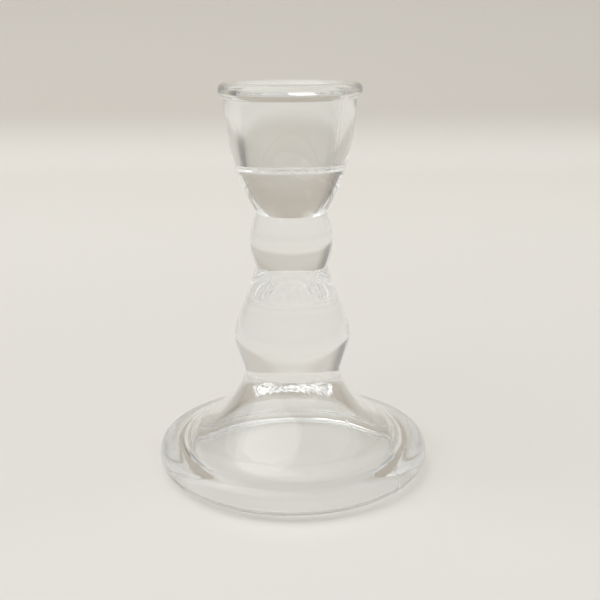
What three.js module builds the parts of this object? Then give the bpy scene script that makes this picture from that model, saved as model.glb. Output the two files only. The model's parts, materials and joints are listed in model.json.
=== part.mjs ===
// A pressed-glass candlestick for one taper candle, in millimetres, +Z up.
// The origin is on the axis, in the plane that the foot stands on.
// The real piece is one pressing. It is modelled as the masses that it was formed in, stacked up
// the axis: each is a body of revolution that meets the next face to face on a flat joint plane.
import * as THREE from 'three';

// How finely the turned shapes are divided.
const SIDES = 40;                // facets round the axis
const CURVE_STEPS = 7;           // straight runs in a curve
const CORNER_STEPS = 4;          // straight runs in a quarter-round corner

// Heights of the masses, from the table up. They add up to the overall height of 110.
const RING_HEIGHT = 9.4;
const BELL_HEIGHT = 20.1;
const PEAR_HEIGHT = 30.5;
const BALL_HEIGHT = 14.9;
const BOWL_HEIGHT = 9.5;
const CUP_HEIGHT = 21.4;
const LIP_HEIGHT = 4.2;

// The foot's outside: a rounded edge, a shoulder and a bell that flares down from the ankle.
const FOOT_RADIUS = 39.1;        // the foot's widest line
const EDGE_HEIGHT = 4.6;         // how high that line is above the table
const SHOULDER_RADIUS = 34.2;    // where the ring's top runs into the bell

// The foot's underside: a flat contact ring round a hollow that follows the bell.
const CONTACT_WIDTH = 1.5;       // width of the flat ring that touches the table
const HOLLOW_RADIUS = 32.4;      // hollow at the table
const HOLLOW_WAIST_RADIUS = 25.2; // hollow at the top of the ring
const HOLLOW_DEPTH = 27.2;       // from the table to the top of the hollow

// The stem's pinches and swells.
const ANKLE_RADIUS = 13.9;       // pinch under the pear
const PEAR_RADIUS = 16.5;
const PEAR_BELLY = 10.4;          // height of the pear's widest line above the ankle
const WAIST_RADIUS = 10.1;       // pinch between the pear and the ball
const BALL_RADIUS = 11.5;
const NECK_RADIUS = 9.7;          // pinch between the ball and the bowl

// The cup: a solid bowl, a cup with a floor of its own round the candle, and a rounded lip.
const BOWL_RADIUS = 14.2;        // outside, where the bowl meets the cup
const BOWL_LEAN = 0.34;          // how much wider it grows there for each millimetre up
const CUP_RADIUS = 17.9;         // outside, under the lip
const LIP_RADIUS = 19.4;
const LIP_SWELL = 1.8;           // height over which the lip swells out of the cup
const LIP_ROUND = 1.8;           // rounding of the lip's top edges

// The socket tapers, so that a 22 mm candle wedges part of the way down.
const FLOOR_THICKNESS = 3;       // from the bowl to the socket's floor
const SOCKET_FLOOR_RADIUS = 11.9;
const SOCKET_MOUTH_RADIUS = 14;
const SOCKET_FILLET = 1.8;       // where the socket's side meets its floor

// How each curve of the outlines is pulled, as [outwards, upwards]: as it leaves its first point,
// and back from the last point that it arrives at.
const PULLS = {
  edgeUnderside: { leave: [1.9, 0.35], arrive: [0, -2.4] },
  edgeTop: { leave: [0, 3.5], arrive: [3.6, -0.7] },
  hollowSide: { leave: [4.4, -2.2], arrive: [-0.6, 4.4] },
  hollowTop: { leave: [8, 0], arrive: [-9.5, 5.2] },
  bell: { leave: [-6.8, 1.36], arrive: [-1.3, -5.9] },
  pearBelow: { leave: [1, 3.4], arrive: [0, -2.6] },
  pearAbove: { leave: [0, 4.6], arrive: [2, -8.4] },
  bowl: { leave: [2, BOWL_HEIGHT / 3], arrive: [-BOWL_LEAN * BOWL_HEIGHT / 3, -BOWL_HEIGHT / 3] },
  cup: { leave: [BOWL_LEAN * CUP_HEIGHT / 3, CUP_HEIGHT / 3], arrive: [0, -CUP_HEIGHT / 3] },
  lip: { leave: [0.4, 0.4], arrive: [0, -0.9] },
};

const GLASS = { color: 0xe6ebe6, roughness: 0.04, metalness: 0, transparent: true, opacity: 0.35 };

// The joint planes between the masses, and the level of the socket's floor.
const SHOULDER = RING_HEIGHT;
const ANKLE = SHOULDER + BELL_HEIGHT;
const WAIST = ANKLE + PEAR_HEIGHT;
const NECK = WAIST + BALL_HEIGHT;
const BOWL_TOP = NECK + BOWL_HEIGHT;
const LIP_BASE = BOWL_TOP + CUP_HEIGHT;
const LIP_TOP = LIP_BASE + LIP_HEIGHT;
const SOCKET_FLOOR = BOWL_TOP + FLOOR_THICKNESS;

const candlestick = new THREE.Group();

// Points of a curve between two [radius, height] points.
function curve(from, { leave, arrive }, to) {
  const shape = new THREE.CubicBezierCurve(
    new THREE.Vector2(...from),
    new THREE.Vector2(from[0] + leave[0], from[1] + leave[1]),
    new THREE.Vector2(to[0] + arrive[0], to[1] + arrive[1]),
    new THREE.Vector2(...to),
  );
  return shape.getPoints(CURVE_STEPS);
}

// Points of a quarter round, by its centre, its radius and the angles where it starts and ends.
function corner([radius, height], round, startAngle, endAngle) {
  const clockwise = endAngle < startAngle;
  const arc = new THREE.EllipseCurve(radius, height, round, round, startAngle, endAngle, clockwise);
  return arc.getPoints(CORNER_STEPS);
}

// One mass: an outline of [radius, height] points, drawn anticlockwise, turned round the axis.
function turned(name, outline) {
  const points = outline.map((point) => (point.isVector2 ? point : new THREE.Vector2(...point)));
  const distinct = points.filter((point, i) => i === 0 || point.distanceTo(points[i - 1]) > 1e-6);
  const geometry = new THREE.LatheGeometry(distinct, SIDES);
  geometry.rotateX(Math.PI / 2);
  const mesh = new THREE.Mesh(geometry, new THREE.MeshStandardMaterial(GLASS));
  mesh.name = name;
  candlestick.add(mesh);
}

function footRing() {
  const widest = [FOOT_RADIUS, EDGE_HEIGHT];
  const hollowEdge = [HOLLOW_RADIUS, 0];
  turned('foot_ring', [
    hollowEdge,
    ...curve([HOLLOW_RADIUS + CONTACT_WIDTH, 0], PULLS.edgeUnderside, widest),
    ...curve(widest, PULLS.edgeTop, [SHOULDER_RADIUS, SHOULDER]),
    ...curve([HOLLOW_WAIST_RADIUS, SHOULDER], PULLS.hollowSide, hollowEdge),
  ]);
}

function footBell() {
  turned('foot_bell', [
    ...curve([0, HOLLOW_DEPTH], PULLS.hollowTop, [HOLLOW_WAIST_RADIUS, SHOULDER]),
    ...curve([SHOULDER_RADIUS, SHOULDER], PULLS.bell, [ANKLE_RADIUS, ANKLE]),
    [0, ANKLE],
  ]);
}

function pearKnop() {
  const belly = [PEAR_RADIUS, ANKLE + PEAR_BELLY];
  turned('pear_knop', [
    [0, ANKLE],
    ...curve([ANKLE_RADIUS, ANKLE], PULLS.pearBelow, belly),
    ...curve(belly, PULLS.pearAbove, [WAIST_RADIUS, WAIST]),
    [0, WAIST],
  ]);
}

function ballKnop() {
  // Handles this far out, a third of the height apart, give the ball its radius midway.
  const reach = (8 * BALL_RADIUS - WAIST_RADIUS - NECK_RADIUS) / 6;
  const pulls = {
    leave: [reach - WAIST_RADIUS, BALL_HEIGHT / 3],
    arrive: [reach - NECK_RADIUS, -BALL_HEIGHT / 3],
  };
  turned('ball_knop', [
    [0, WAIST],
    ...curve([WAIST_RADIUS, WAIST], pulls, [NECK_RADIUS, NECK]),
    [0, NECK],
  ]);
}

function socketBowl() {
  turned('socket_bowl', [
    [0, NECK],
    ...curve([NECK_RADIUS, NECK], PULLS.bowl, [BOWL_RADIUS, BOWL_TOP]),
    [0, BOWL_TOP],
  ]);
}

function socketCup() {
  const filletCentre = [SOCKET_FLOOR_RADIUS - SOCKET_FILLET, SOCKET_FLOOR + SOCKET_FILLET];
  turned('socket_cup', [
    [0, BOWL_TOP],
    ...curve([BOWL_RADIUS, BOWL_TOP], PULLS.cup, [CUP_RADIUS, LIP_BASE]),
    [SOCKET_MOUTH_RADIUS, LIP_BASE],
    ...corner(filletCentre, SOCKET_FILLET, 0, -Math.PI / 2),
    [0, SOCKET_FLOOR],
  ]);
}

function socketLip() {
  const widest = [LIP_RADIUS, LIP_BASE + LIP_SWELL];
  const mouth = [SOCKET_MOUTH_RADIUS, LIP_BASE];
  const round = Math.min(LIP_ROUND, (LIP_RADIUS - SOCKET_MOUTH_RADIUS) / 2);
  turned('socket_lip', [
    mouth,
    ...curve([CUP_RADIUS, LIP_BASE], PULLS.lip, widest),
    ...corner([LIP_RADIUS - round, LIP_TOP - round], round, 0, Math.PI / 2),
    ...corner([SOCKET_MOUTH_RADIUS + round, LIP_TOP - round], round, Math.PI / 2, Math.PI),
    mouth,
  ]);
}

footRing();
footBell();
pearKnop();
ballKnop();
socketBowl();
socketCup();
socketLip();

export default candlestick;
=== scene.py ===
# %% [markdown]
# ## A pressed-glass candlestick
# The real candlestick is one pressing of clear soda glass: a gather of hot glass was dropped into
# a two-part mould and a plunger pushed the candle's socket and the foot's hollow into it. The CAD
# model holds it as seven masses, stacked up one axis. Here each mass gets its fine surface: the
# outline is drawn once as a curve and turned round the axis, then marked as the mould marked it.

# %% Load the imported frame
import json
import math

import bpy
import numpy as np
from mathutils import Matrix, Vector

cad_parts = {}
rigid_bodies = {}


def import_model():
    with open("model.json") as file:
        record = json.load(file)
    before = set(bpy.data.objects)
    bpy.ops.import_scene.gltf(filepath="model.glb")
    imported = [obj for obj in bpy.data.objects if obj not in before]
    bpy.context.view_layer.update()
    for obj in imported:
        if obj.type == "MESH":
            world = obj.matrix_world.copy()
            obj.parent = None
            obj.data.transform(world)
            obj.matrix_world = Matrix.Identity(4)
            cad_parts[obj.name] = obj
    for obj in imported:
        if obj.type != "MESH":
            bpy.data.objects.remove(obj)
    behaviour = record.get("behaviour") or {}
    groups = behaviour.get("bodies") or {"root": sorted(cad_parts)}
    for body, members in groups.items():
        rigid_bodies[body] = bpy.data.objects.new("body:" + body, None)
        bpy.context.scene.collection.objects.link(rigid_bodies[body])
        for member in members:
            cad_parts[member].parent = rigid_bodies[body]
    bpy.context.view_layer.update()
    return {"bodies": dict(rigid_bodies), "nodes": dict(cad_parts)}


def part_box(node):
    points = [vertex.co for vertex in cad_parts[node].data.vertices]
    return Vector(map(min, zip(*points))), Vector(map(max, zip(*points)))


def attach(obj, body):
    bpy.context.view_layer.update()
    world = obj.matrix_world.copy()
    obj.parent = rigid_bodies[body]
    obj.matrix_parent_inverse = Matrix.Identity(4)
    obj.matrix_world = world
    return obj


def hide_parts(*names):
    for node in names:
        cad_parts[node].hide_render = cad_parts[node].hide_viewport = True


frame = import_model()
print("CAD nodes:", sorted(frame["nodes"]))

# %% [markdown]
# ### The camera
# A small object seen from close by shows strong perspective, so the lens and the distance matter
# as much as the angle. The camera is placed by its height, its distance in front of the axis, how
# far it tips down, and a slight roll.

# %% Camera
CAMERA_DISTANCE = 0.2558
CAMERA_HEIGHT = 0.1215
CAMERA_SIDE = 0.0023
TIP_DOWN = math.radians(15.73)
ROLL = math.radians(-0.36)
FOCAL_LENGTH = 56.0
SENSOR_WIDTH = 36
NEAREST_SEEN = 0.01

camera = bpy.data.objects.new("camera", bpy.data.cameras.new("camera"))
bpy.context.scene.collection.objects.link(camera)
bpy.context.scene.camera = camera
camera.data.sensor_width = SENSOR_WIDTH
camera.data.lens = FOCAL_LENGTH
camera.data.clip_start = NEAREST_SEEN
level = Matrix.Rotation(math.radians(90) - TIP_DOWN, 4, "X")
place = Matrix.Translation((CAMERA_SIDE, -CAMERA_DISTANCE, CAMERA_HEIGHT))
camera.matrix_world = place @ level @ Matrix.Rotation(ROLL, 4, "Z")
print("camera looks along", [round(v, 3) for v in camera.matrix_world.to_3x3() @ Vector((0, 0, -1))])

# %% [markdown]
# ### A helper for node arithmetic
# Shapes and finishes below are formulas, and a formula as a chain of Math nodes is hard to read
# when each node is made by hand. This small class wraps a node's output, so that ordinary
# arithmetic on it adds the Math nodes.


# %% Arithmetic on node sockets
class Field:
    """A number that varies over a surface, as the output socket of a node."""

    def __init__(self, socket):
        self.socket = socket

    def math(self, operation, *others):
        tree = self.socket.id_data
        node = tree.nodes.new("ShaderNodeMath")
        node.operation = operation
        for place, value in enumerate((self, *others)):
            if isinstance(value, Field):
                tree.links.new(value.socket, node.inputs[place])
            else:
                node.inputs[place].default_value = value
        return Field(node.outputs[0])

    def __add__(self, other):
        return self.math("ADD", other)

    def __sub__(self, other):
        return self.math("SUBTRACT", other)

    def __mul__(self, other):
        return self.math("MULTIPLY", other)

    def __truediv__(self, other):
        return self.math("DIVIDE", other)


def bell_curve(distance, width):
    """1 where distance is 0, falling smoothly to 0 a few widths away."""
    return ((distance / width).math("POWER", 2.0) * -1.0).math("EXPONENT")


def find_input(node, key):
    """An input by its place, or by its name among the inputs in use."""
    if not isinstance(key, str):
        return node.inputs[key]
    return next(s for s in node.inputs if s.name == key and s.enabled)


def add_node(tree, kind, links=(), **settings):
    """A new node with its properties set, and its inputs given as sockets or values."""
    node = tree.nodes.new(kind)
    for key, value in settings.items():
        setattr(node, key, value)
    for key, value in dict(links).items():
        socket = find_input(node, key)
        source = value.socket if isinstance(value, Field) else value
        if isinstance(source, bpy.types.NodeSocket):
            tree.links.new(source, socket)
        else:
            socket.default_value = source
    return node


# The colour sockets of a Mix node, which shares its names A, B and Result with other kinds.
MIX_AMOUNT, MIX_A, MIX_B, MIX_RESULT = 0, 6, 7, 2
print("helpers ready")

# %% [markdown]
# ### Sizes from the frame
# Nothing here is measured twice. Each mass of the CAD model says how high its joint planes are and
# how wide it is on them, so the fine outlines start and end where the plain ones do.


# %% Heights and radii of each mass
ON_PLANE = 1e-6


def corners(node):
    """Every vertex of a CAD node as (distance from the axis, height)."""
    mesh = frame["nodes"][node].data
    places = np.empty(len(mesh.vertices) * 3)
    mesh.vertices.foreach_get("co", places)
    x, y, z = places.reshape(-1, 3).T
    return np.column_stack([np.hypot(x, y), z])


def on_plane(node, height):
    """The inner and outer radius of a CAD node's face on a level plane."""
    radii = [r for r, z in corners(node) if abs(z - height) < ON_PLANE]
    return min(radii), max(radii)


MASSES = ["foot_ring", "foot_bell", "pear_knop", "ball_knop", "socket_bowl", "socket_cup", "socket_lip"]
bottom = {node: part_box(node)[0][2] for node in MASSES}
top = {node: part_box(node)[1][2] for node in MASSES}
widest = {node: max(map(tuple, corners(node))) for node in MASSES}
for node in MASSES:
    low, high, radius = (round(v * 1000, 1) for v in (bottom[node], top[node], widest[node][0]))
    print(f"{node}: {low} to {high} mm, radius {radius} mm")

# %% [markdown]
# ### Drawing an outline
# A turned shape is one closed line in a plane that holds the axis. Drawn as a Bezier curve it needs
# only the points where the shape changes, and the handles give the glass its soft swells. The line
# runs anticlockwise, so that the faces turned from it point out of the glass.


# %% Outline helper
RUNS_PER_CURVE = 40
ROUND_REACH = 0.5523


def mm(outwards, upwards):
    """An offset in (radius, height), given in millimetres."""
    return outwards / 1000, upwards / 1000


def draw_outline(name, start, *runs):
    """A Bezier line in (radius, height). A run is (end,), or (leave, arrive, end) where it curves."""
    closed = runs[-1][-1] == start
    anchors = [start] + [run[-1] for run in runs]
    leaves = [run[0] if len(run) == 3 else None for run in runs] + [None]
    arrivals = [None] + [run[1] if len(run) == 3 else None for run in runs]
    if closed:
        anchors.pop()
        leaves.pop()
        arrivals[0] = arrivals.pop()
    data = bpy.data.curves.new(name, "CURVE")
    data.dimensions = "3D"
    line = data.splines.new("BEZIER")
    line.bezier_points.add(len(anchors) - 1)
    line.use_cyclic_u = closed
    line.resolution_u = RUNS_PER_CURVE
    for point, (radius, height), leave, arrive in zip(line.bezier_points, anchors, leaves, arrivals):
        point.co = (radius, 0, height)
        point.handle_right_type = "FREE" if leave else "VECTOR"
        point.handle_left_type = "FREE" if arrive else "VECTOR"
        if leave:
            point.handle_right = (radius + leave[0], 0, height + leave[1])
        if arrive:
            point.handle_left = (radius + arrive[0], 0, height + arrive[1])
    outline = bpy.data.objects.new(name, data)
    bpy.context.scene.collection.objects.link(outline)
    return outline


def quarter_round(radius, leave, arrive, end):
    """A run that turns a quarter of a circle: the directions it leaves in and is pulled back by."""
    reach = ROUND_REACH * radius
    return tuple(reach * v for v in leave), tuple(reach * v for v in arrive), end


print("outline helper ready")

# %% [markdown]
# ### Turning it on the axis
# The lathe is a Geometry Nodes tree. A grid has one row of points for each point of the outline and
# one column for each angle, and every grid point is moved to its place on the turned surface. The
# columns crowd together at the two seams of the mould, where a fine ridge has to show. After that,
# the tree adds what the mould and the plunger leave: the ridge, a slow waviness, and the chill
# wrinkles on the roof of the foot's hollow. A joint plane is a place inside the glass, not a
# surface, so its faces get a finish of their own.


# %% The lathe tree
def add_input(tree, name, kind, value=None):
    socket = tree.interface.new_socket(name, in_out="INPUT", socket_type=kind)
    if value is not None:
        socket.default_value = value
    return socket


MERGE_DISTANCE = 1e-7
DIVISION_SLACK = 1e-4


def build_lathe():
    tree = bpy.data.node_groups.new("turned pressing", "GeometryNodeTree")
    tree.is_modifier = True
    tree.interface.new_socket("Geometry", in_out="OUTPUT", socket_type="NodeSocketGeometry")
    add_input(tree, "Outline", "NodeSocketGeometry")
    add_input(tree, "Closed outline", "NodeSocketInt", 0)
    add_input(tree, "Sides", "NodeSocketInt", 384)
    add_input(tree, "Seam crowding", "NodeSocketFloat", 0.7)
    add_input(tree, "Seam angle", "NodeSocketFloat", math.radians(-43))
    add_input(tree, "Seam height", "NodeSocketFloat", 0.00004)
    add_input(tree, "Seam width", "NodeSocketFloat", 0.00028)
    add_input(tree, "Wave height", "NodeSocketFloat", 0.00004)
    add_input(tree, "Wave length", "NodeSocketFloat", 0.009)
    add_input(tree, "Wrinkle height", "NodeSocketFloat", 0.0)
    add_input(tree, "Wrinkle length", "NodeSocketFloat", 0.0022)
    add_input(tree, "Wrinkles above", "NodeSocketFloat", 0.0)
    add_input(tree, "Lower joint", "NodeSocketFloat", -1.0)
    add_input(tree, "Upper joint", "NodeSocketFloat", -1.0)
    add_input(tree, "Glass", "NodeSocketMaterial")
    add_input(tree, "Joint", "NodeSocketMaterial")
    given = tree.nodes.new("NodeGroupInput").outputs

    points = add_node(tree, "GeometryNodeCurveToPoints", {"Curve": given["Outline"]}, mode="EVALUATED")
    size = add_node(
        tree, "GeometryNodeAttributeDomainSize",
        {"Geometry": points.outputs["Points"]}, component="POINTCLOUD",
    )
    count = Field(size.outputs["Point Count"])
    rows = count + Field(given["Closed outline"])
    sides = Field(given["Sides"])
    grid = add_node(tree, "GeometryNodeMeshGrid", {"Vertices X": sides + 1.0, "Vertices Y": rows})
    index = Field(tree.nodes.new("GeometryNodeInputIndex").outputs[0])
    column = (index / rows + DIVISION_SLACK).math("FLOOR")
    row = (index - column * rows).math("MODULO", count)
    position = tree.nodes.new("GeometryNodeInputPosition").outputs[0]
    place = add_node(
        tree, "GeometryNodeSampleIndex",
        {"Geometry": points.outputs["Points"], "Value": position, "Index": row},
        data_type="FLOAT_VECTOR", domain="POINT",
    )
    outline_at = add_node(tree, "ShaderNodeSeparateXYZ", {0: place.outputs["Value"]})
    radius, height = Field(outline_at.outputs["X"]), Field(outline_at.outputs["Z"])

    turn = column / sides * (2 * math.pi)
    crowded = turn - (turn * 2.0).math("SINE") * Field(given["Seam crowding"]) * 0.5
    angle = crowded + Field(given["Seam angle"])
    turned_to = add_node(
        tree, "ShaderNodeCombineXYZ",
        {"X": radius * angle.math("COSINE"), "Y": radius * angle.math("SINE"), "Z": height},
    )
    surface = add_node(
        tree, "GeometryNodeSetPosition",
        {"Geometry": grid.outputs["Mesh"], "Position": turned_to.outputs[0]},
    )
    merged = add_node(
        tree, "GeometryNodeMergeByDistance",
        {"Geometry": surface.outputs[0], "Distance": MERGE_DISTANCE},
    )
    marked = add_mould_marks(tree, given, merged.outputs[0])
    finished = add_finishes(tree, given, marked)
    tree.links.new(finished, tree.nodes.new("NodeGroupOutput").inputs[0])
    return tree


# %% What the mould and the plunger leave on the surface
RIDGE_FACES_OUT = 0.05
WAVE_NOT_ON_FLATS = 0.98
WRINKLE_FACES_DOWN = -0.2
WRINKLE_FADE = 0.004


def add_mould_marks(tree, given, geometry):
    position = tree.nodes.new("GeometryNodeInputPosition").outputs[0]
    normal = tree.nodes.new("GeometryNodeInputNormal").outputs[0]
    at = add_node(tree, "ShaderNodeSeparateXYZ", {0: position})
    x, y, z = (Field(at.outputs[k]) for k in "XYZ")
    level_place = add_node(tree, "ShaderNodeCombineXYZ", {"X": x, "Y": y})
    outwards = add_node(
        tree, "ShaderNodeVectorMath", {0: level_place.outputs[0]}, operation="NORMALIZE",
    ).outputs[0]
    facing = add_node(tree, "ShaderNodeVectorMath", {0: normal, 1: outwards}, operation="DOT_PRODUCT")
    facing_out = Field(facing.outputs["Value"])
    facing_up = Field(add_node(tree, "ShaderNodeSeparateXYZ", {0: normal}).outputs["Z"])

    seam = Field(given["Seam angle"])
    off_seam = y * seam.math("COSINE") - x * seam.math("SINE")
    ridge = bell_curve(off_seam, Field(given["Seam width"])) * Field(given["Seam height"])
    ridge = ridge * facing_out.math("GREATER_THAN", RIDGE_FACES_OUT)

    wave_noise = add_node(
        tree, "ShaderNodeTexNoise",
        {
            "Vector": position, "Scale": Field(given["Wave length"]).math("POWER", -1.0),
            "Detail": 1.0, "Roughness": 0.5,
        },
    )
    wave = (Field(wave_noise.outputs[0]) - 0.5) * Field(given["Wave height"]) * 2.0
    wave = wave * facing_up.math("ABSOLUTE").math("LESS_THAN", WAVE_NOT_ON_FLATS)

    wrinkle_noise = add_node(
        tree, "ShaderNodeTexNoise",
        {
            "Vector": position, "Scale": Field(given["Wrinkle length"]).math("POWER", -1.0),
            "Detail": 2.0, "Distortion": 1.2,
        },
    )
    above = (z - Field(given["Wrinkles above"])) / WRINKLE_FADE
    above = above.math("MINIMUM", 1.0).math("MAXIMUM", 0.0)
    wrinkle = (Field(wrinkle_noise.outputs[0]) - 0.5) * Field(given["Wrinkle height"]) * 2.0
    wrinkle = wrinkle * above * facing_up.math("LESS_THAN", WRINKLE_FACES_DOWN)

    sideways = add_node(
        tree, "ShaderNodeVectorMath", {0: outwards, "Scale": ridge + wave}, operation="SCALE",
    )
    upwards = add_node(tree, "ShaderNodeCombineXYZ", {"Z": wrinkle})
    offset = add_node(
        tree, "ShaderNodeVectorMath",
        {0: sideways.outputs[0], 1: upwards.outputs[0]}, operation="ADD",
    )
    moved = add_node(
        tree, "GeometryNodeSetPosition", {"Geometry": geometry, "Offset": offset.outputs[0]},
    )
    return moved.outputs[0]


# %% Smooth glass, crisp pinches, and joints that aren't a surface
CREASE = math.radians(26)
JOINT_REACH = 2e-6


def add_finishes(tree, given, geometry):
    smooth = add_node(tree, "GeometryNodeSetShadeSmooth", {"Geometry": geometry}, domain="FACE")
    bend = Field(tree.nodes.new("GeometryNodeInputMeshEdgeAngle").outputs["Unsigned Angle"])
    crisp = add_node(
        tree, "GeometryNodeSetShadeSmooth",
        {
            "Geometry": smooth.outputs[0], "Selection": bend.math("GREATER_THAN", CREASE),
            "Shade Smooth": False,
        },
        domain="EDGE",
    )
    glass = add_node(
        tree, "GeometryNodeSetMaterial",
        {"Geometry": crisp.outputs[0], "Material": given["Glass"]},
    )
    position = tree.nodes.new("GeometryNodeInputPosition").outputs[0]
    height = Field(add_node(tree, "ShaderNodeSeparateXYZ", {0: position}).outputs["Z"])
    off_joint = [(height - Field(given[k])).math("ABSOLUTE") for k in ("Lower joint", "Upper joint")]
    hit = [distance.math("LESS_THAN", JOINT_REACH) for distance in off_joint]
    joint = add_node(
        tree, "GeometryNodeSetMaterial",
        {"Geometry": glass.outputs[0], "Selection": hit[0] + hit[1], "Material": given["Joint"]},
    )
    return add_node(tree, "GeometryNodeRealizeInstances", {"Geometry": joint.outputs[0]}).outputs[0]


lathe = build_lathe()
print("lathe tree:", len(lathe.nodes), "nodes")

# %% [markdown]
# ### The glass
# Clear soda glass is almost nothing but its surface: light bends on the way in and on the way out.
# The Principled shader's transmission does that by itself. What makes it pressed glass and not a
# perfect lens is small. The surface is faintly uneven where the mould was cooler, there is a haze
# of handling, the sand's trace of iron greys it, and the ring that it stands on is scuffed. The
# marks are one shader group, so each finish uses it with strengths of its own.


# %% Handling and mould marks, as a shader group
HAZE_FROM, HAZE_CONTRAST = 0.45, 4.0
GRAIN_FROM, GRAIN_CONTRAST = 0.4, 3.0


def sharpen(field, start, contrast):
    """Nothing below start, rising by the contrast to 1."""
    return ((field - start) * contrast).math("MAXIMUM", 0.0).math("MINIMUM", 1.0)


def build_marks_group():
    group = bpy.data.node_groups.new("glass surface marks", "ShaderNodeTree")
    strengths = {"Haze scale": 90.0, "Haze roughness": 0.02, "Grain scale": 1400.0, "Scuff": 0.0}
    for name, value in strengths.items():
        socket = group.interface.new_socket(name, in_out="INPUT", socket_type="NodeSocketFloat")
        socket.default_value = value
    group.interface.new_socket("Roughness", in_out="OUTPUT", socket_type="NodeSocketFloat")
    group.interface.new_socket("Height", in_out="OUTPUT", socket_type="NodeSocketFloat")
    given = group.nodes.new("NodeGroupInput").outputs
    coordinates = group.nodes.new("ShaderNodeTexCoord").outputs["Object"]
    haze = add_node(
        group, "ShaderNodeTexNoise",
        {
            "Vector": coordinates, "Scale": given["Haze scale"],
            "Detail": 4.0, "Roughness": 0.6, "Distortion": 0.8,
        },
    )
    grain = add_node(
        group, "ShaderNodeTexNoise",
        {"Vector": coordinates, "Scale": given["Grain scale"], "Detail": 3.0, "Roughness": 0.65},
    )
    clouded = sharpen(Field(haze.outputs[0]), HAZE_FROM, HAZE_CONTRAST)
    speckled = sharpen(Field(grain.outputs[0]), GRAIN_FROM, GRAIN_CONTRAST)
    roughness = clouded * Field(given["Haze roughness"]) + speckled * Field(given["Scuff"])
    height = Field(grain.outputs[0]) * Field(given["Scuff"])
    results = group.nodes.new("NodeGroupOutput").inputs
    group.links.new(roughness.socket, results["Roughness"])
    group.links.new(height.socket, results["Height"])
    return group


surface_marks = build_marks_group()
print("marks group:", len(surface_marks.nodes), "nodes")

# %% Clear pressed glass
GLASS_IOR = 1.52
FACE_ON_TINT = (0.955, 0.96, 0.951, 1)
EDGE_BLEND = 0.35
SCUFF_STRENGTH = 0.35
BUMP_STRENGTH = 0.3
BUMP_DISTANCE = 0.0001


def glass_finish(name, haze_roughness, edge_tint, scuff_below=None):
    """Clear glass with its marks, greyer where it is seen edge on, and scuffed below a height."""
    material = bpy.data.materials.new(name)
    material.use_nodes = True
    tree = material.node_tree
    shader = tree.nodes["Principled BSDF"]
    shader.inputs["IOR"].default_value = GLASS_IOR
    shader.inputs["Transmission Weight"].default_value = 1.0
    facing = tree.nodes.new("ShaderNodeLayerWeight")
    facing.inputs["Blend"].default_value = EDGE_BLEND
    tint = add_node(
        tree, "ShaderNodeMix",
        {MIX_AMOUNT: facing.outputs["Facing"], MIX_A: FACE_ON_TINT, MIX_B: edge_tint}, data_type="RGBA",
    )
    tree.links.new(tint.outputs[MIX_RESULT], shader.inputs["Base Color"])
    marks = tree.nodes.new("ShaderNodeGroup")
    marks.node_tree = surface_marks
    marks.inputs["Haze roughness"].default_value = haze_roughness
    if scuff_below:
        coordinates = tree.nodes.new("ShaderNodeTexCoord").outputs["Object"]
        height = Field(add_node(tree, "ShaderNodeSeparateXYZ", {0: coordinates}).outputs["Z"])
        low = (height * -1.0 + scuff_below).math("MAXIMUM", 0.0) / scuff_below
        tree.links.new((low * SCUFF_STRENGTH).socket, marks.inputs["Scuff"])
    tree.links.new(marks.outputs["Roughness"], shader.inputs["Roughness"])
    bump = add_node(
        tree, "ShaderNodeBump",
        {"Height": marks.outputs["Height"], "Strength": BUMP_STRENGTH, "Distance": BUMP_DISTANCE},
    )
    tree.links.new(bump.outputs[0], shader.inputs["Normal"])
    return material


THIN_EDGE = (0.922, 0.937, 0.935, 1)
THICK_EDGE = (0.74, 0.75, 0.775, 1)
POLISHED_HAZE, HANDLED_HAZE = 0.012, 0.02
SCUFF_HEIGHT = 0.0009
polished = glass_finish("fire_polished_glass", POLISHED_HAZE, THIN_EDGE)
standing = glass_finish("foot_glass", HANDLED_HAZE, THICK_EDGE, scuff_below=SCUFF_HEIGHT)

fused = bpy.data.materials.new("fused_joint")
fused.use_nodes = True
fused.node_tree.nodes["Principled BSDF"].inputs["Alpha"].default_value = 0.0
print("finishes:", [m.name for m in (polished, standing, fused)])

# %% [markdown]
# ### From an outline to a piece of glass
# Each mass is turned, made a plain mesh, and put in the place of its plain CAD node. Its object
# stays at the origin, so the piece is where the frame has it.

# %% Turning one mass
BODY = next(iter(frame["bodies"]))


def set_inputs(modifier, values):
    for item in modifier.node_group.interface.items_tree:
        if item.item_type == "SOCKET" and item.in_out == "INPUT" and item.name in values:
            modifier[item.identifier] = values[item.name]


def turn_mass(node, outline, finish, **marks):
    """Turn an outline into the glass of one CAD node."""
    modifier = outline.modifiers.new("lathe", "NODES")
    modifier.node_group = lathe
    values = {key.replace("_", " ").capitalize(): value for key, value in marks.items()}
    values["Closed outline"] = int(outline.data.splines[0].use_cyclic_u)
    values.update({"Glass": finish, "Joint": fused})
    if node != MASSES[0]:
        values["Lower joint"] = bottom[node]
    if node != MASSES[-1]:
        values["Upper joint"] = top[node]
    set_inputs(modifier, values)
    turned = outline.evaluated_get(bpy.context.evaluated_depsgraph_get())
    mesh = bpy.data.meshes.new_from_object(turned)
    mesh.name = f"{node}_glass"
    bpy.data.objects.remove(outline)
    piece = bpy.data.objects.new(mesh.name, mesh)
    bpy.context.scene.collection.objects.link(piece)
    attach(piece, BODY)
    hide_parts(node)
    check_closed(piece)
    return piece


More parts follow.
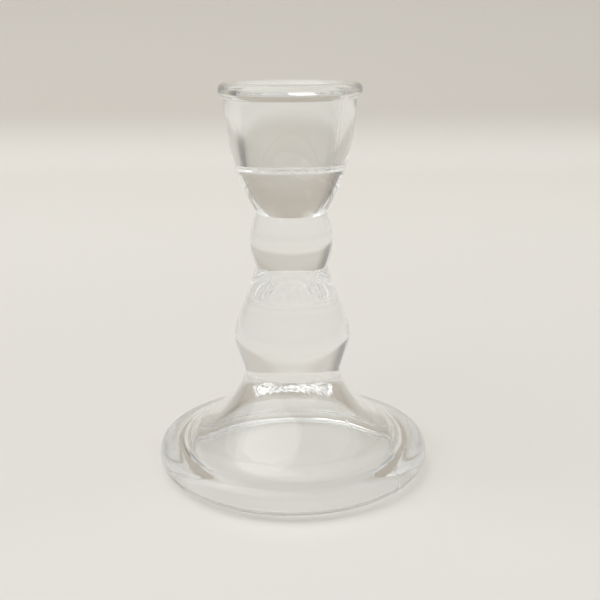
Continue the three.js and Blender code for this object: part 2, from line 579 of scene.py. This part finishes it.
def check_closed(piece):
    """Print whether every edge joins two faces, and the volume: above 0 when the faces point out."""
    mesh = piece.data
    mesh.calc_loop_triangles()
    uses = np.zeros(len(mesh.edges), int)
    edges = np.empty(len(mesh.loops), int)
    mesh.loops.foreach_get("edge_index", edges)
    np.add.at(uses, edges, 1)
    volume = 0.0
    for triangle in mesh.loop_triangles:
        a, b, c = (mesh.vertices[i].co for i in triangle.vertices)
        volume += a.dot(b.cross(c)) / 6
    faces = len(mesh.loop_triangles)
    print(f"{piece.name}: {faces} triangles, closed {bool((uses == 2).all())}, {volume * 1e6:.2f} cm3")


print("body:", BODY)

# %% [markdown]
# ### The foot
# The foot is a heavy ring under a bell. Its underside is hollow, because a thick slab of glass
# would crack as it cooled, and the plunger that hollowed it also left the contact ring flat. The
# hollow follows the bell at an even distance and closes in a small dome, whose skin chilled on the
# plunger and wrinkled.

# %% The ring that it stands on
contact_in, contact_out = on_plane("foot_ring", bottom["foot_ring"])
hollow_waist, shoulder_radius = on_plane("foot_ring", top["foot_ring"])
table, shoulder = bottom["foot_ring"], top["foot_ring"]
hollow_edge, edge_line = (contact_in, table), widest["foot_ring"]
ring_outline = draw_outline(
    "ring outline", hollow_edge,
    ((contact_out, table),),
    (mm(1.9, 0.35), mm(0, -2.4), edge_line),
    (mm(0, 3.5), mm(3.6, -0.7), (shoulder_radius, shoulder)),
    ((hollow_waist, shoulder),),
    (mm(4.4, -2.2), mm(-0.6, 4.4), hollow_edge),
)
RING_SEAM = 0.00010
turn_mass("foot_ring", ring_outline, standing, seam_height=RING_SEAM)

# %% The bell above it
ankle, ankle_radius = top["foot_bell"], on_plane("foot_bell", top["foot_bell"])[1]
hollow_top = min(z for r, z in corners("foot_bell") if r < ON_PLANE)
bell_outline = draw_outline(
    "bell outline", (0, hollow_top),
    (mm(8, 0), mm(-9.5, 5.2), (hollow_waist, shoulder)),
    ((shoulder_radius, shoulder),),
    (mm(-6.8, 1.36), mm(-1.3, -5.9), (ankle_radius, ankle)),
    ((0, ankle),),
)
BELL_MARKS = {
    "seam_height": 0.000015,
    "wrinkle_height": 0.0004,
    "wrinkle_length": 0.0017,
    "wrinkles_above": shoulder + 0.012,
}
turn_mass("foot_bell", bell_outline, polished, **BELL_MARKS)

# %% [markdown]
# ### The stem
# Two solid swells with tight pinches between them: a tall pear and a flattened ball. Both are
# lenses, so a smooth outline matters more here than anywhere else. A facet or a flat spot would
# show as a kink in everything behind it.

# %% The pear
waist, waist_radius = top["pear_knop"], on_plane("pear_knop", top["pear_knop"])[1]
pear_outline = draw_outline(
    "pear outline", (0, ankle),
    ((ankle_radius, ankle),),
    (mm(1, 3.4), mm(0, -2.6), widest["pear_knop"]),
    (mm(0, 4.6), mm(2, -8.4), (waist_radius, waist)),
    ((0, waist),),
)
turn_mass("pear_knop", pear_outline, polished)

# %% The ball
neck, neck_radius = top["ball_knop"], on_plane("ball_knop", top["ball_knop"])[1]
# A cubic's middle is an eighth of its ends plus three eighths of its handles, which gives the reach.
ball_reach = (8 * widest["ball_knop"][0] - waist_radius - neck_radius) / 6
third = (neck - waist) / 3
ball_outline = draw_outline(
    "ball outline", (0, waist),
    ((waist_radius, waist),),
    ((ball_reach - waist_radius, third), (ball_reach - neck_radius, -third), (neck_radius, neck)),
    ((0, neck),),
)
turn_mass("ball_knop", ball_outline, polished)

# %% [markdown]
# ### The cup
# A solid bowl carries a cup whose wall tapers, so that a candle wedges in part of the way down. A
# thick lip swells out at the top, with both of its edges melted round by the flame.

# %% The bowl and the cup
BOWL_LEAN = 0.34
BOWL_SWELL = 0.002
SOCKET_FILLET = 0.0018
bowl_top, bowl_radius = top["socket_bowl"], on_plane("socket_bowl", top["socket_bowl"])[1]
third = (bowl_top - neck) / 3
bowl_outline = draw_outline(
    "bowl outline", (0, neck),
    ((neck_radius, neck),),
    ((BOWL_SWELL, third), (-BOWL_LEAN * third, -third), (bowl_radius, bowl_top)),
    ((0, bowl_top),),
)
turn_mass("socket_bowl", bowl_outline, polished)

lip_base = top["socket_cup"]
mouth_radius, cup_radius = on_plane("socket_cup", lip_base)
socket_floor = max(z for r, z in corners("socket_cup") if r < ON_PLANE)
flat_radius = on_plane("socket_cup", socket_floor)[1]
third = (lip_base - bowl_top) / 3
cup_outline = draw_outline(
    "cup outline", (0, bowl_top),
    ((bowl_radius, bowl_top),),
    ((BOWL_LEAN * third, third), (0, -third), (cup_radius, lip_base)),
    ((mouth_radius, lip_base),),
    ((flat_radius + SOCKET_FILLET, socket_floor + SOCKET_FILLET),),
    quarter_round(SOCKET_FILLET, (0, -1), (1, 0), (flat_radius, socket_floor)),
    ((0, socket_floor),),
)
turn_mass("socket_cup", cup_outline, polished)

# %% The lip
LIP_SWELL = 0.0018
LIP_ROUND = 0.0018
lip_radius, lip_top = widest["socket_lip"][0], top["socket_lip"]
lip_outline = draw_outline(
    "lip outline", (mouth_radius, lip_base),
    ((cup_radius, lip_base),),
    (mm(0.4, 0.4), mm(0, -0.9), (lip_radius, lip_base + LIP_SWELL)),
    ((lip_radius, lip_top - LIP_ROUND),),
    quarter_round(LIP_ROUND, (0, 1), (1, 0), (lip_radius - LIP_ROUND, lip_top)),
    ((mouth_radius + LIP_ROUND, lip_top),),
    quarter_round(LIP_ROUND, (-1, 0), (0, 1), (mouth_radius, lip_top - LIP_ROUND)),
    ((mouth_radius, lip_base),),
)
turn_mass("socket_lip", lip_outline, polished)

# %% [markdown]
# ### Floor and light
# Glass shows its surroundings more than itself. A pale paper sweep gives it a bright floor and a
# wall with no corner between them. Light and shade are painted into the paper's colour: lighter
# further back on the floor, greyer and then darker and warmer up the wall, and darker towards its
# left end, so that the glass has a darker side to show. The room's light comes from above in a soft
# gradient. One large soft lamp up to the left is about as bright as that light, so it lifts the
# glass without drawing a hard shape.

# %% The paper sweep
SWEEP_HALF = 1.6
WALL_DISTANCE = 0.875
WALL_HEIGHT = 2.5
SWEEP_RADIUS = 0.25
SWEEP_STEPS = 24
FLOOR_DROP = 0.0001
# The floor is painted lighter further back than near the front: painted light on the one sheet of
# paper.
NEAR_FLOOR = (0.825, 0.812, 0.784, 1)
FAR_FLOOR_PAINTED_LIGHT = (0.885, 0.873, 0.84, 1)
# The wall is painted greyer, and higher up darker and warmer: painted shade on the one sheet of paper.
LOW_WALL_PAINTED_SHADE = (0.67, 0.64, 0.595, 1)
HIGH_WALL_PAINTED_SHADE = (0.60, 0.55, 0.485, 1)
PAPER_ROUGHNESS = 0.9
PAPER_SPECULAR = 0.1
FAR_FLOOR_SPAN = (0.0, 0.4)
LOW_WALL_SPAN = (-0.005, 0.05)
HIGH_WALL_SPAN = (0.2, 0.4)
# The paper is painted darker towards its left end: painted shade, so the glass has a dark side to show.
LEFT_END_SHADE_SPAN = (-0.95, -0.42)
LEFT_END_PAINTED_SHADE = 0.5


def ramp(tree, value, start, end, low=0.0, high=1.0):
    """A smooth step from low to high as a value goes from start to end."""
    limits = {"Value": value, "From Min": start, "From Max": end, "To Min": low, "To Max": high}
    step = add_node(tree, "ShaderNodeMapRange", limits, interpolation_type="SMOOTHSTEP")
    return Field(step.outputs[0])


def paper_finish():
    """Matt paper with painted light and shade: greyer up the wall, darker to the left, lighter at the
    back.
    """
    material = bpy.data.materials.new("paper")
    material.use_nodes = True
    tree = material.node_tree
    shader = tree.nodes["Principled BSDF"]
    shader.inputs["Roughness"].default_value = PAPER_ROUGHNESS
    shader.inputs["Specular IOR Level"].default_value = PAPER_SPECULAR
    coordinates = tree.nodes.new("ShaderNodeTexCoord").outputs["Object"]
    place = add_node(tree, "ShaderNodeSeparateXYZ", {0: coordinates}).outputs
    # Painted light and shade: the floor lighter further back, the wall greyer, then darker and warmer
    # as it rises.
    steps = (
        (ramp(tree, place["Y"], *FAR_FLOOR_SPAN), FAR_FLOOR_PAINTED_LIGHT),
        (ramp(tree, place["Z"], *LOW_WALL_SPAN), LOW_WALL_PAINTED_SHADE),
        (ramp(tree, place["Z"], *HIGH_WALL_SPAN), HIGH_WALL_PAINTED_SHADE),
    )
    colour = NEAR_FLOOR
    for amount, further in steps:
        mix = {MIX_AMOUNT: amount, MIX_A: colour, MIX_B: further}
        colour = add_node(tree, "ShaderNodeMix", mix, data_type="RGBA").outputs[MIX_RESULT]
    # Painted shade: the colour darkens towards the paper's left end.
    left_end_shade = ramp(tree, place["X"], *LEFT_END_SHADE_SPAN, LEFT_END_PAINTED_SHADE, 1.0)
    painted_shade_colour = add_node(tree, "ShaderNodeVectorMath", {0: colour, "Scale": left_end_shade}, operation="SCALE")
    tree.links.new(painted_shade_colour.outputs[0], shader.inputs["Base Color"])
    return material


turns = [math.pi / 2 * i / SWEEP_STEPS for i in range(1, SWEEP_STEPS + 1)]
wall_foot = WALL_DISTANCE - SWEEP_RADIUS
section = [(-SWEEP_HALF, 0), (wall_foot, 0)]
section += [(wall_foot + SWEEP_RADIUS * math.sin(a), SWEEP_RADIUS * (1 - math.cos(a))) for a in turns]
section += [(WALL_DISTANCE, WALL_HEIGHT)]
places = [(x, y, z - FLOOR_DROP) for y, z in section for x in (-SWEEP_HALF, SWEEP_HALF)]
strips = [(2 * i, 2 * i + 1, 2 * i + 3, 2 * i + 2) for i in range(len(section) - 1)]
paper = bpy.data.meshes.new("paper_sweep")
paper.from_pydata(places, [], strips)
paper.polygons.foreach_set("use_smooth", [True] * len(paper.polygons))
paper.materials.append(paper_finish())
sweep = bpy.data.objects.new("paper_sweep", paper)
bpy.context.scene.collection.objects.link(sweep)
print("paper sweep:", len(paper.polygons), "strips")

# %% The room's light and the lamp
SKY = ((0.0, 0.4), (0.46, 0.42), (0.52, 0.46), (0.62, 0.7), (0.8, 1.0), (0.93, 0.9), (1.0, 0.7))
SKY_STRENGTH = 0.99
SKY_WARMTH = 0.985
LAMP_PLACE = Vector((-0.9, -0.5, 1.9))
LAMP_AIM = Vector((0, 0, 0.04))
LAMP_SIZE = 2.2
LAMP_ENERGY = 13.5
LAMP_COLOUR = (1.0, 0.98, 0.95)

world = bpy.data.worlds.new("room")
bpy.context.scene.world = world
world.use_nodes = True
tree = world.node_tree
direction = tree.nodes.new("ShaderNodeTexCoord").outputs["Generated"]
upward = add_node(tree, "ShaderNodeSeparateXYZ", {0: direction}).outputs["Z"]
height = add_node(tree, "ShaderNodeMapRange", {"Value": upward, "From Min": -1.0, "From Max": 1.0})
gradient = add_node(tree, "ShaderNodeValToRGB", {0: height.outputs[0]})
stops = gradient.color_ramp.elements
stops.remove(stops[0])
stops[0].position, stops[0].color = SKY[0][0], (SKY[0][1],) * 3 + (1,)
for position, value in SKY[1:]:
    stops.new(position).color = (value, value, value * SKY_WARMTH, 1)
background = tree.nodes["Background"]
tree.links.new(gradient.outputs[0], background.inputs["Color"])
background.inputs["Strength"].default_value = SKY_STRENGTH

lamp = bpy.data.lights.new("lamp", "AREA")
lamp.shape = "SQUARE"
lamp.size = LAMP_SIZE
lamp.energy = LAMP_ENERGY
lamp.color = LAMP_COLOUR
lamp_stand = bpy.data.objects.new("lamp", lamp)
bpy.context.scene.collection.objects.link(lamp_stand)
lamp_stand.location = LAMP_PLACE
lamp_stand.rotation_euler = (LAMP_AIM - LAMP_PLACE).to_track_quat("-Z", "Y").to_euler()
print("lamp at", tuple(LAMP_PLACE))

# %% How far light is followed through the glass
LIGHT_BOUNCES = 64
scene = bpy.context.scene
scene.view_settings.view_transform = "Standard"
scene.cycles.max_bounces = LIGHT_BOUNCES
scene.cycles.transmission_bounces = LIGHT_BOUNCES
scene.cycles.transparent_max_bounces = LIGHT_BOUNCES
scene.cycles.glossy_bounces = LIGHT_BOUNCES
scene.cycles.blur_glossy = 0.0
print("bounces:", LIGHT_BOUNCES)
